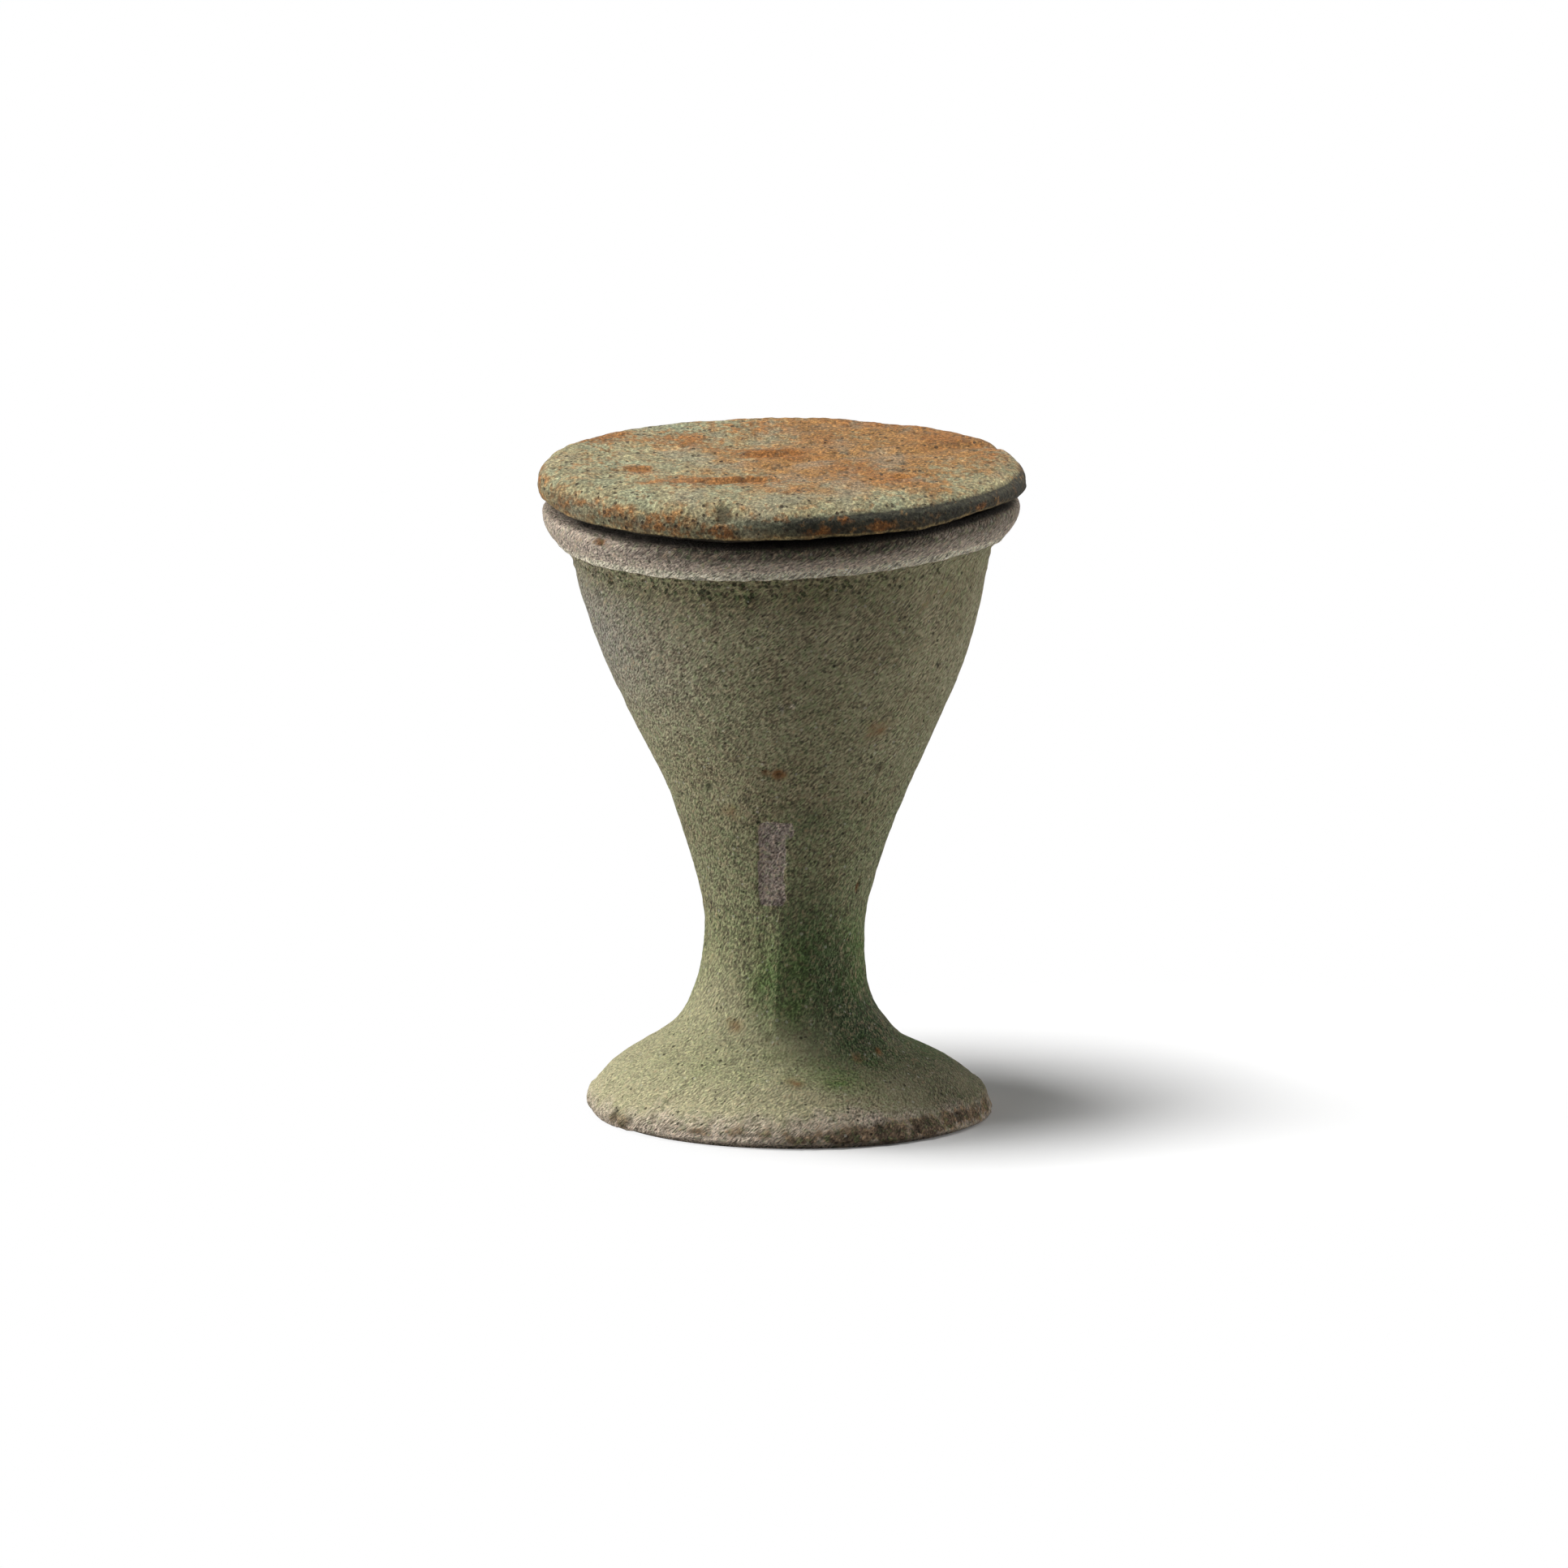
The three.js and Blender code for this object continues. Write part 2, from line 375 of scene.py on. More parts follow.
# Where each tone and each form begins and where it is full, in mm of height or radius
cupZones = {
    "band": (71.2, 71.8),
    "mouth": (68, 71),
    "footGlaze": (1.6, 4.2),
    "rimTop": (75.7, 76.25),
    "rimTopInner": (25.2, 27.0),
    "paintedLidShadow": (72.4, 75.3),
    "moss": (66.4, 68.8),
    "mossEnd": (71.1, 71.6),
    "tufts": (67.2, 69.4),
    "tuftsEnd": (71.3, 71.7),
    "leaf": (3.5, 8),
    "leafEnd": (30, 16),
    "paintedFootShade": (-1, 4),
    "paintedFootShadeEnd": (30, 12),
    "footPaleWearAndPaintedLight": (19, 8),
    "footPaleWearAndPaintedLightEnd": (0, 3),
    "neckPaintedLight": (66, 70),
    "neckPaintedLightEnd": (71.4, 70.6),
    "calmEnd": (32, 20),
    "bowlEnd": (60, 30),
    "wornEdge": (1.5, 0.1),
    "chippedEdge": (4.2, 1.2),
    "arris": (9.5, 15),
    "arrisEnd": (24.5, 29),
    "climb": (61, 70.4),
    "topClimb": (73.5, 75.6),
    "topClimbRadius": (25.2, 28.4),
    "edge": (0, 3.2),
    "edgeEnd": (3.2, 11.1),
    "edgeFoot": (0.02, 0.3),
    "leanEnd": (3.6, 11),
    "wearRadius": (22, 24.3),
    "wearEnd": (0.5, 3),
}

# Small hollows in the skin: turn in degrees, height, radius and depth in mm
cupPits = [
    (-3.4, 45.5, 0.45, 0.35), (-9, 45.8, 0.35, 0.2), (-65, 67.1, 0.5, 0.35), (-38, 43.2, 0.6, 0.3),
    (42, 45.7, 0.7, 0.3), (-3, 40.8, 0.35, 0.25), (-69, 75.8, 0.3, 0.2), (54, 29.4, 0.35, 0.3),
    (55, 30.2, 0.3, 0.3), (-1, 54.6, 0.4, 0.15), (28, 1.4, 0.6, 0.3), (46, 1.6, 0.7, 0.35),
    (61, 1.4, 0.6, 0.3), (-63, 1.5, 0.8, 0.3), (-55, 1.2, 0.6, 0.3), (-10, 34.0, 0.3, 0.2),
    (-6, 35.1, 0.3, 0.2),
]

# Stained places: turn in degrees, height, half width and half height in mm, strength
cupStains = [
    (-61, 1.1, 3.2, 0.8, 0.8), (-10, 1.2, 3.4, 0.5, 0.6), (1, 0.5, 2.5, 0.4, 0.55), (14, 0.7, 5.0, 0.7, 0.85),
    (33, 0.85, 6.0, 0.9, 1.05), (47, 1.2, 3.0, 0.8, 0.9), (62, 1.2, 4.0, 1.0, 1.1), (82, 1.5, 5, 1.0, 0.7),
    (-49, 75.3, 1.2, 0.5, 0.8), (66, 76.0, 0.6, 0.6, 0.5), (-30, 1.0, 6, 0.5, 0.4), (52, 66, 3, 4, 0.25),
    (160, 3, 9, 1.3, 0.8), (-120, 2.6, 7, 1.2, 0.7), (120, 2.2, 6, 1, 0.7), (-150, 74, 4, 1.5, 0.5),
    (140, 50, 2, 1.2, 0.5),
]

# Rusty specks, and pale scars with one painted glint, in the same terms
cupRust = [
    (-4, 45.6, 0.95, 0.6, 1.7), (-9, 45.8, 0.4, 0.3, 0.9), (-28, 12.9, 1.1, 0.8, 0.75),
    (54.5, 29.6, 0.3, 0.9, 0.9), (5, 6.5, 1.4, 0.9, 0.6), (54, 9.3, 0.6, 0.4, 1.0),
    (39, 9.1, 0.9, 0.6, 0.6), (-49, 75.3, 1.0, 0.4, 0.6), (36, 51, 2, 1.6, 0.5),
    (-30, 40, 1.6, 1.2, 0.4), (150, 48, 2, 1.4, 0.7),
]
cupScarsAndGlint = [
    (-1.6, 55.0, 0.16, 0.35, 1.0), (-1.0, 54.5, 0.16, 0.3, 1.0), (2.5, 55.0, 0.25, 0.2, 1.2),
    (0, 33.5, 0.2, 0.2, 0.6),
]

# Pools where the green glaze ran thick, in the same terms
cupPools = [
    (33, 19, 5, 6, 0.8), (42, 11.5, 7, 3.5, 0.9), (75, 12, 9, 4, 0.6), (-12, 15, 3, 5, 0.45),
    (10, 39, 4, 2.2, 0.45), (14, 26, 5, 5, 0.5), (-6, 18, 3, 6, 0.5), (20, 11, 6, 3.5, 0.45),
    (180, 13, 14, 4, 0.5), (130, 17, 8, 5, 0.3),
]


def cupRows():
    c = cup
    shoulder = (c["footRadius"] - c["footShoulderInset"], c["footEdgeHeight"])
    widest = (c["footRadius"], c["footWidestHeight"])
    restOuter, restInner = (c["restOuterRadius"], 0), (c["restInnerRadius"], 0)
    waist, neck = (c["waistRadius"], c["waistHeight"]), (c["neckRadius"], c["neckHeight"])
    flare, flareHeight = shoulder[0] - waist[0], waist[1] - shoulder[1]
    swell, swellHeight = neck[0] - waist[0], neck[1] - waist[1]
    slope = bezier(
        shoulder,
        (shoulder[0] - 0.34 * flare, shoulder[1] + 0.33 * flareHeight),
        (waist[0], waist[1] - 0.76 * flareHeight),
        waist,
    )
    lip = (neck[0] - 0.08 * swell, neck[1] - 0.33 * swellHeight)
    bowl = bezier(waist, (waist[0], waist[1] + 0.33 * swellHeight), lip, neck)
    bowl = bowl[bowl[:, 1] < c["band"][0][1] - 0.3]
    band = smoothPath([bowl[-1], *c["band"]])
    seatInner = (c["mouthRadius"] + c["mouthRound"], c["rimHeight"])
    mouthTop = (c["mouthRadius"], c["rimHeight"] - c["mouthRound"])
    mouthFoot = (c["mouthRadius"], c["rimHeight"] - c["mouthDepth"])
    well = bezier(
        mouthFoot, (lip[0] - c["wall"], lip[1]), (c["floorRadius"], c["floorHeight"]), (0, c["floorHeight"]),
    )
    hollowTop, hollowMiddle = (0, c["hollowDepth"]), (c["restInnerRadius"] / 2, c["hollowDepth"])
    outer, inner = c["outerSpacing"], c["innerSpacing"]
    return spacedRows([
        (corner(hollowTop, hollowMiddle, restInner), inner),
        (straight(restInner, restOuter), outer * 2),
        (corner(restOuter, (c["footRadius"], 0), widest), outer * 0.6),
        (corner(widest, (c["footRadius"], c["footEdgeHeight"]), shoulder), outer * 0.6),
        (slope, outer),
        (bowl, outer),
        (band, outer * 0.55),
        (straight(band[-1], seatInner), outer * 2),
        (corner(seatInner, (c["mouthRadius"], c["rimHeight"]), mouthTop), outer * 0.7),
        (straight(mouthTop, mouthFoot), inner * 0.7),
        (well, inner),
    ])


def roundedBox(across, up, centre, half, rounding):
    # distance outside a box with round corners
    dx = np.abs(across - centre[0]) - half[0] + rounding
    dz = np.abs(up - centre[1]) - half[1] + rounding
    outside = np.hypot(np.maximum(dx, 0), np.maximum(dz, 0))
    return outside + np.minimum(np.maximum(dx, dz), 0) - rounding


def cupZone(name, value):
    return smoothStep(*cupZones[name], value)


def cupMasks(p):
    # how much of each tone every point of the cup has
    r, z, t, front, side, outer = p.r, p.z, p.t, p.front, p.side, p.outer
    broad, medium, fine = p.broad, p.medium, p.fine
    within = wholeRows(p.rows > p.rimRow, p)
    under = wholeRows(p.rows < p.footRow, p)

    # bare paste: the rim band, the foot's edge, the under side and the patch on the front
    band = cupZone("band", z + 0.25 * medium) * outer + cupZone("mouth", z) * within
    footBare = (1 - cupZone("footGlaze", z + 0.9 * medium + 0.9 * broad + 0.4 * fine)) * outer
    across = r * side
    patchShape = np.minimum(roundedBox(across, z, *cup["patch"]), roundedBox(across, z, *cup["patchHead"]))
    patchShape = patchShape + 0.3 * medium + 0.2 * fine
    patch = (1 - smoothStep(-0.15, 0.2, patchShape)) * (np.cos(t) > 0) * outer
    bare = np.clip(band + 0.68 * footBare + under + patch, 0, 1)
    # a pale paste line under the band with a painted highlight on it, and pale scars with a painted glint
    paleLineAndPaintedHighlight = 1.7 * ring(z, *cup["paleLineAndPaintedHighlight"]) * outer * (0.3 + 0.7 * front) * (1 + 0.2 * np.minimum(0, side))
    paleLineAndPaintedHighlight = paleLineAndPaintedHighlight + spots(p, cupScarsAndGlint) * outer

    # painted shade under the lid: dark in the gap at the rim's top, and darker down the band below the lid's
    # edge
    paintedGapShade = cupZone("rimTop", z + 0.25 * np.minimum(0, side))
    paintedGapShade = paintedGapShade * cupZone("rimTopInner", r + 0.5 * medium + 0.4 * broad)
    paintedGapShade *= (0.25 + 0.75 * smoothStep(-0.3, 0.3, np.cos(t))) * (1 - 0.3 * smoothStep(-0.82, -0.95, side))
    paintedLidShadow = cupZone("paintedLidShadow", z) * smoothStep(-0.95, -0.4, side)
    paintedLidShadow = paintedLidShadow * (1.2 + 0.4 * broad) * front ** 0.3 * outer
    paintedLidShadow *= 1 - 0.2 * smoothStep(0.3, 0.8, side) - 0.45 * smoothStep(-0.3, -0.75, side)

    # moss and its tufts in the groove under the band
    moss = cupZone("moss", z + 1.2 * medium) * (1 - cupZone("mossEnd", z + 0.2 * fine)) * outer
    moss *= (0.25 + 0.75 * front ** 0.8) * (0.72 - 0.55 * side)
    lumps = cupZone("tufts", z + 0.8 * medium + 0.6 * broad)
    lumps = lumps * (1 - cupZone("tuftsEnd", z + 0.2 * medium)) * outer
    lumps *= (0.45 + 0.55 * front) * (0.74 - 0.16 * side + 0.2 * medium + 0.3 * fine)

    # glaze: thin and brown, green, deep green in pools, fresh green in swaths; worn pale, with painted light
    # on the lit left of the foot and stem, and below the band on the right where it lies in shade
    # painted shade: the darker brown just below the band at the front stands for the shade there
    brownGlazeAndPaintedShade = spot(p, -12, 67.6, 24, 2.4) * (0.7 + 0.4 * broad) + 0.5 * spot(p, 45, 62, 10, 7) * (1 + broad)
    tawny = 0.3 * spot(p, -22, 20, 4, 5) + 0.8 * spot(p, -5, 44, 14, 5) + 0.6 * broad + 0.5 * medium
    green = np.interp(z, cup["greenHeights"], cup["greenShares"])
    green = (green + 0.25 * broad + 0.12 * side * cupZone("bowlEnd", z)) * outer
    leaf = cupZone("leaf", z) * cupZone("leafEnd", z)
    leaf = leaf * (0.72 - 0.9 * broad + 0.35 * medium - 0.1 * side) * outer
    leaf *= 0.5 + 0.5 * smoothStep(-0.9, 0.0, side)
    # pale worn glaze on the foot, with painted light on its lit left and on the left of the stem
    paleWearAndPaintedLight = cupZone("footPaleWearAndPaintedLight", z) * cupZone("footPaleWearAndPaintedLightEnd", z) * (0.8 - 0.6 * side + 0.7 * broad)
    paleWearAndPaintedLight = (paleWearAndPaintedLight + 0.8 * spot(p, -56, 16, 6, 6)) * outer
    # painted light below the band on the right, where it lies in shade
    neckPaintedLight = 0.15 * cupZone("neckPaintedLight", z) * cupZone("neckPaintedLightEnd", z)
    paleWearAndPaintedLight += neckPaintedLight * smoothStep(0.0, 0.7, side) * front ** 0.5 * outer
    paleWearAndPaintedLight += (0.16 * spot(p, 50, 57, 22, 20) + 0.3 * spot(p, -18, 9.5, 9, 4)) * outer

    # the worn left of the foot has few dark grains
    calm = 0.4 * smoothStep(0.4, -0.2, side) * cupZone("calmEnd", z) * outer
    pool = spots(p, cupPools) * outer - calm
    # painted shade on the right of the stem and foot, where the bowl shades them
    paintedFootShade = smoothStep(0.3, 0.85, side) * cupZone("paintedFootShade", z) * cupZone("paintedFootShadeEnd", z)
    paintedFootShade = paintedFootShade * (0.8 + 0.3 * broad) * outer - calm
    lilac = (spot(p, -78, 62, 16, 9) + 0.5 * spot(p, 150, 58, 20, 9)) * outer - calm
    paintedLidShadow = paintedLidShadow - calm

    stain = spots(p, cupStains) * outer
    stain *= 1 + 0.9 * medium + 0.8 * fine
    rusty = spots(p, cupRust) * outer * (1 + 0.6 * fine)
    return {
        "bare": bare, "patch": patch, "paleLineAndPaintedHighlight": paleLineAndPaintedHighlight, "moss": moss, "green": green, "pool": pool,
        "paleWearAndPaintedLight": paleWearAndPaintedLight, "lilac": lilac, "stain": stain, "brownGlazeAndPaintedShade": brownGlazeAndPaintedShade * outer, "paintedGapShade": paintedGapShade,
        "leaf": leaf, "paintedFootShade": paintedFootShade, "tawny": tawny * outer, "paintedLidShadow": paintedLidShadow, "lumps": lumps,
        "rusty": rusty,
    }


def cupRelief(p, masks):
    # height of the skin over the turned form, outwards, and a mask of the pits in it
    z, outer, medium, fine = p.z, p.outer, p.medium, p.fine
    lift = 0.16 * cloud(p, 16, 2, 4) + 0.08 * cloud(p, 4.5, 2, 5) + 0.06 * medium + 0.045 * fine
    lift *= np.where(outer > 0, 1, 0.6)
    lift -= cup["patchDepth"] * masks["patch"]
    lift += 0.55 * ring(z, *cup["ledgeRidge"]) * outer * (0.2 + 0.8 * p.front) * (1 + 0.3 * medium)
    lift += 0.25 * masks["lumps"] * np.maximum(0, medium + fine) - 0.15 * masks["moss"]
    lift += 0.2 * np.clip(masks["stain"], 0, 1) * (z < 8) * (0.2 + np.abs(medium) + 0.8 * fine)

    # each pit: turn, height, size, depth, radius of the surface there, darkness
    random = np.random.default_rng(4)
    many = cup["scatteredPits"]
    radius, height = p.profileRadius, p.profileHeight
    picked = random.integers(p.footRow + 8, p.rimRow - 4, many)
    turns, sizes = random.uniform(-180, 180, many), random.uniform(0.25, 0.55, many)
    pits = [(a, h, s, 0.4 * s, c, 0.35) for a, h, s, c in zip(turns, height[picked], sizes, radius[picked])]
    wall = slice(p.footRow, p.rimRow)
    pits += [(a, h, s, depth, np.interp(h, height[wall], radius[wall]), 1) for a, h, s, depth in cupPits]
    pore = np.zeros_like(z)
    for markTurn, markHeight, size, depth, centre, tone in pits:
        off = acrossFrom(p, markTurn) ** 2 + (z - markHeight) ** 2 + (p.r - centre) ** 2 * 0.5
        hole = np.exp(-(np.sqrt(off) / size) ** 4) * outer
        lift -= depth * hole
        pore = np.maximum(pore, tone * hole)

    # the lower edge of the foot is worn and chipped, most of all at the left of the front
    worn = cupZone("wornEdge", z) * outer
    lift -= worn * (0.1 - 0.3 * ring(inDegrees(p.t), -68, 28))
    lift -= 0.3 * smoothStep(0.2, 0.6, cloud(p, 2.2, 2, 6)) * cupZone("chippedEdge", z) * outer
    # the seat, the mouth and the standing ring stay true to their neighbours
    lift[(p.rows > p.rimRow - 1) & (height > 72)] *= 0.1
    lift[height < 0.02] = 0
    return lift, pore


def shapedByHand(p, x, y, z):
    # the ridge down the stem, the band and the foot's edge that rise and fall, and the lean
    arris = cup["arris"]
    along = cupZone("arris", z) * (1 - cupZone("arrisEnd", z)) * p.outer
    offRidge = np.abs((inDegrees(p.t) - arris["turn"]) / arris["spread"])
    x, y = pushed(x, y, p.t, arris["height"] * along * np.exp(-offRidge ** 1.4))
    lipRise, topRise = roundTheTurn(p.t, cup["lipRise"]), roundTheTurn(p.t, cup["topRise"])
    climb = cupZone("climb", z) * (lipRise + (topRise - lipRise) * cupZone("topClimb", z)) * p.outer
    climb *= np.where(z > cupZones["topClimb"][1], cupZone("topClimbRadius", p.r), 1)
    edge = cupZone("edge", z) * (1 - cupZone("edgeEnd", z))
    lifted = z + climb + cup["edgeRise"] * edge * (np.maximum(0, -y) / cup["footRadius"]) ** 2
    x, y = pushed(x, y, p.t, alongHeight(z, cup["wander"], 2) * p.outer)
    x = x + alongHeight(z, cup["wander"], 1)

    # at the front the foot's edge leans back, and its under side is worn away
    leaning = smoothStep(0, 0.7, np.cos(p.t)) * p.outer
    low = np.maximum(0, 24.7 - p.r) * cupZone("edgeFoot", z) * (z < cup["footWidestHeight"])
    low -= cup["edgeLean"] * np.clip(z / 3.3, 0, 1) * (1 - cupZone("leanEnd", z))
    x, y = pushed(x, y, p.t, low * leaning)
    wear = cup["edgeWear"] * leaning * cupZone("wearRadius", p.r) * (1 - cupZone("wearEnd", z))
    return x, y, np.maximum(lifted + wear * (z < 3) * (1 - 0.6 * p.side ** 2), 0)


def makeCup():
    radius, height, outR, outZ = cupRows()
    p = turnedPoints(radius, height, cup["turns"])
    p.rimRow = p.rows[height > cup["rimHeight"] - 0.02].min()
    p.footRow = p.rows[radius > cup["restOuterRadius"] - 0.01].min()
    p.outer = wholeRows((p.rows >= p.footRow) & (p.rows <= p.rimRow), p)
    p.broad, p.medium, p.fine = cloud(p, 9, 3, 1), cloud(p, 2.2, 3, 2), cloud(p, 0.9, 2, 3)
    masks = cupMasks(p)
    lift, masks["pore"] = cupRelief(p, masks)
    piece = turnedMesh("faienceCup", *shapedByHand(p, *raised(p, lift, outR, outZ)), masks)
    piece.data.materials.append(weatheredFaience())
    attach(piece, "cup")
    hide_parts("cup")
    return piece


# Glazed quartz paste that lay in the ground: the copper glaze has gone matt and grey-green,
# with grain like felt, deeper green where it ran thick, and pinkish bare paste at the edges.
cupFinish = {
    "beige": "#b2a888",
    "glint": "#f0ecdc",
    "darkGrain": "#1f1e12",
    # Sizes in mm. Quartz grains and bubbles in such paste are 0.1 to 0.5 mm wide. The finest are
    # too fine to show, so the grain, pores and glints are drawn near the coarse end.
    "grainSize": 0.3,
    "mottleSize": 1.4,
    "cloudSize": 6.5,
    "speckleSize": 0.65,
    "poreSpacing": 0.58,
    "glintSpacing": 0.6,
    "mossSpacing": 0.7,
    # share of the cells that hold a pore or a glint, and how strongly it is tinted
    "poreChance": 0.17,
    "poreCover": 0.7,
    "glintChance": 0.16,
    "glintCover": 0.3,
    # smoothing strokes: turn in radians per metre of height, and how they are drawn out
    "strokeTurn": -38,
    "strokeShape": (1.0, 1.0, 0.65),
    "grainSpread": 3.0,
    "mottleSpread": 1.5,
    "mottleRelief": 0.6,
    "reliefDepth": 0.75,
    "roughness": 0.84,
    "specular": 0.2,
    # colour, where its pattern starts to show it and shows it fully, greatest cover
    "earthClouds": ("#7d6a50", 0.5, 0.68, 0.4),
    "rosySpeckles": ("#a58d74", 0.5, 0.62, 0.3),
    "grassySpeckles": ("#76885a", 0.48, 0.36, 0.4),
    # mask, colour, softness of its border, how far the border is frayed, greatest cover
    "ground": [("green", "#8c916b", 0.45, 1.1, 1.0)],
    "tones": [
        ("tawny", "#9a8a6c", 0.45, 1.2, 0.5),
        # brown glaze, with painted shade below the band
        ("brownGlazeAndPaintedShade", "#6a5e44", 0.4, 1.0, 0.62),
        ("leaf", "#6f9644", 0.5, 0.5, 0.85),
        # worn pale glaze, with painted light on the lit left
        ("paleWearAndPaintedLight", "#e6dfb2", 0.5, 0.3, 0.6),
        ("lilac", "#a9a29f", 0.5, 0.5, 0.7),
        ("pool", "#33522a", 0.5, 1.0, 0.9),
        ("bare", "#d6c4b4", 0.25, 0.5, 1.0),
        # painted shade on the right of the stem and foot
        ("paintedFootShade", "#37382a", 0.5, 0.8, 0.85),
        ("patch", "#b0a097", 0.15, 0.05, 1.0),
        # painted shade on the band below the lid's edge
        ("paintedLidShadow", "#3f382f", 0.5, 0.4, 0.85),
        # pale line with a painted highlight
        ("paleLineAndPaintedHighlight", "#f3e9d2", 0.5, 0.4, 1.0),
        ("moss", "#757346", 0.45, 1.2, 0.35),
    ],
    "tufts": [("lumps", "#23260f", 0.1, 1.0, 0.88)],
    "stains": [("stain", "#7a5c3d", 0.25, 1.6, 0.8)],
    "grime": [("stain", "#17120d", 0.15, 0.7, 0.6)],
    "overGrain": [
        # a pale veil over the grain, with painted light on the lit left of the foot
        ("paleWearAndPaintedLight", "#d8d0a8", 0.5, 0.5, 0.34),
        ("rusty", "#9c6535", 0.4, 0.9, 0.75),
    ],
    "hollows": [
        ("pore", "#1f1e12", 0.45, 0.3, 0.6),
        # painted shade in the gap under the lid
        ("paintedGapShade", "#17120d", 0.45, 1.0, 0.95),
    ],
}


def weatheredFaience():
    look = cupFinish
    material = emptyMaterial("weatheredFaience")
    place = addNode(material, "ShaderNodeTexCoord").outputs["Object"]
    # strokes of the smoothing hand run up the wall at a slant, so the pattern turns with height
    heightAt = addNode(material, "ShaderNodeSeparateXYZ", {0: place}).outputs["Z"]
    slant = addNode(material, "ShaderNodeMath", {0: heightAt, 1: look["strokeTurn"]}, operation="MULTIPLY")
    twisted = addNode(material, "ShaderNodeVectorRotate", {"Vector": place, "Angle": slant.outputs[0]},
                      rotation_type="Z_AXIS")
    strokes = addNode(material, "ShaderNodeMapping", {
        "Vector": twisted.outputs[0], "Scale": look["strokeShape"],
    }).outputs[0]
    grain, mottle, clouds, speckle = [
        addNode(material, "ShaderNodeTexNoise", {
            "Vector": at, "Scale": 1 / (look[size] * mm), "Detail": detail, "Roughness": 0.62,
        }).outputs["Fac"]
        for size, at, detail in (
            ("grainSize", strokes, 2), ("mottleSize", strokes, 4),
            ("cloudSize", place, 3), ("speckleSize", place, 2),
        )
    ]
    # the wobble that frays borders swings round 0
    both = addNode(material, "ShaderNodeMath", {0: grain, 1: mottle}, operation="ADD")
    wobble = addNode(material, "ShaderNodeMath", {0: both.outputs[0], 1: 1.0}, operation="SUBTRACT")
    wobble = wobble.outputs[0]
    # ragged dots for moss and dirt, 0 in their middle and -1 between them
    tufts = addNode(material, "ShaderNodeTexVoronoi", {
        "Vector": place, "Scale": 1 / (look["mossSpacing"] * mm),
    })
    ragged = addNode(material, "ShaderNodeMath", {0: wobble, 1: -0.5, 2: tufts.outputs["Distance"]},
                     operation="MULTIPLY_ADD")
    dots = addNode(material, "ShaderNodeMapRange", {
        "Value": ragged.outputs[0], "From Min": 0.7, "From Max": 0.32, "To Min": -1.0, "To Max": 0.0,
    }).outputs[0]

    colour = frayedLayers(material, toLinear(look["beige"]), wobble, look["ground"])
    colour = noiseLayer(material, colour, clouds, *look["earthClouds"])
    colour = frayedLayers(material, colour, wobble, look["tones"])
    colour = frayedLayers(material, colour, dots, look["tufts"])
    colour = frayedLayers(material, colour, wobble, look["stains"])
    colour = frayedLayers(material, colour, dots, look["grime"])
    colour = noiseLayer(material, colour, speckle, *look["rosySpeckles"])
    colour = noiseLayer(material, colour, speckle, *look["grassySpeckles"])
    # quartz grains with hollows between them, open bubbles, and painted glints on a few grains
    colour = shadeByGrain(material, colour, grain, look["grainSpread"])
    colour = shadeByGrain(material, colour, mottle, look["mottleSpread"])
    colour = frayedLayers(material, colour, wobble, look["overGrain"])
    bubbles = openPores(material, place, look["poreSpacing"], look["poreChance"])
    colour = noiseLayer(material, colour, bubbles, look["darkGrain"], 0.0, 1.0, look["poreCover"])
    glints = openPores(material, place, look["glintSpacing"], look["glintChance"])
    colour = noiseLayer(material, colour, glints, look["glint"], 0.0, 1.0, look["glintCover"])
    colour = frayedLayers(material, colour, wobble, look["hollows"])
    return matteGlaze(material, colour, grain, mottle, bubbles, look)


# The lid: a thick loose disc with a rounded edge and a low step under it

lid = {
    "turns": 420,
    "outerSpacing": 0.42,
    "innerSpacing": 1.3,
    "seatHeight": 76.95,
    "thickness": 4.65,
    "bossRadius": 22.65,
    "bossDepth": 2.4,
    "bossRound": 0.7,
    # the edge from the seat up to the top face
    "edge": [
        (25.2, 76.97), (26.6, 77.0), (27.9, 77.06), (28.8, 77.18), (29.4, 77.45), (29.8, 77.95),
        (30.0, 78.6), (30.02, 79.2), (29.96, 79.7), (29.72, 80.25), (29.25, 80.85), (28.5, 81.3),
        (27.3, 81.55), (25.8, 81.6),
    ],
    # how far the lower edge stands above its level at the back: degrees, mm
    "lowerRise": [
        (-180, 0), (-90, 0.1), (-72, 0.15), (-60, -0.4), (-50, -0.5), (-40, -0.3), (-29, -0.3), (-16, -0.4),
        (0, 0.1), (15, 0.2), (27, 0.15), (41, 0.6), (60, 1.2), (78, 0.6), (90, 0.3), (130, 0.1), (180, 0),
    ],
    # how far the top face falls at the front and rises at the back, and its tilt at the back
    "frontRoll": 0.45,
    "backRise": 0.36,
    "backTilt": 0.1,
    # painted light along the lid's lower corner at the front, where it lies in shade: middle height, half
    # height
    "paintedLightLowerEdge": (77.55, 0.2),
    "scatteredPits": 200,
}

# Where each tone and each form of the lid begins and where it is full, in mm of height or radius
lidZones = {
    "top": (79.9, 81.3),
    "lowerEdge": (79.6, 77.6),
    "lowerRiseRadius": (25.5, 28.4),
    "lowerRiseEnd": (77.6, 80.6),
    "rollRadius": (23.5, 29),
    "roll": (79.5, 81),
    "backRadius": (12, 28),
    "back": (79, 81),
    "tilt": (78, 81),
    # painted shade on the lid's under side, in the gap over the rim
    "paintedGapShade": (77.35, 77.1),
    "paintedGapShadeRadius": (25.2, 26.6),
}

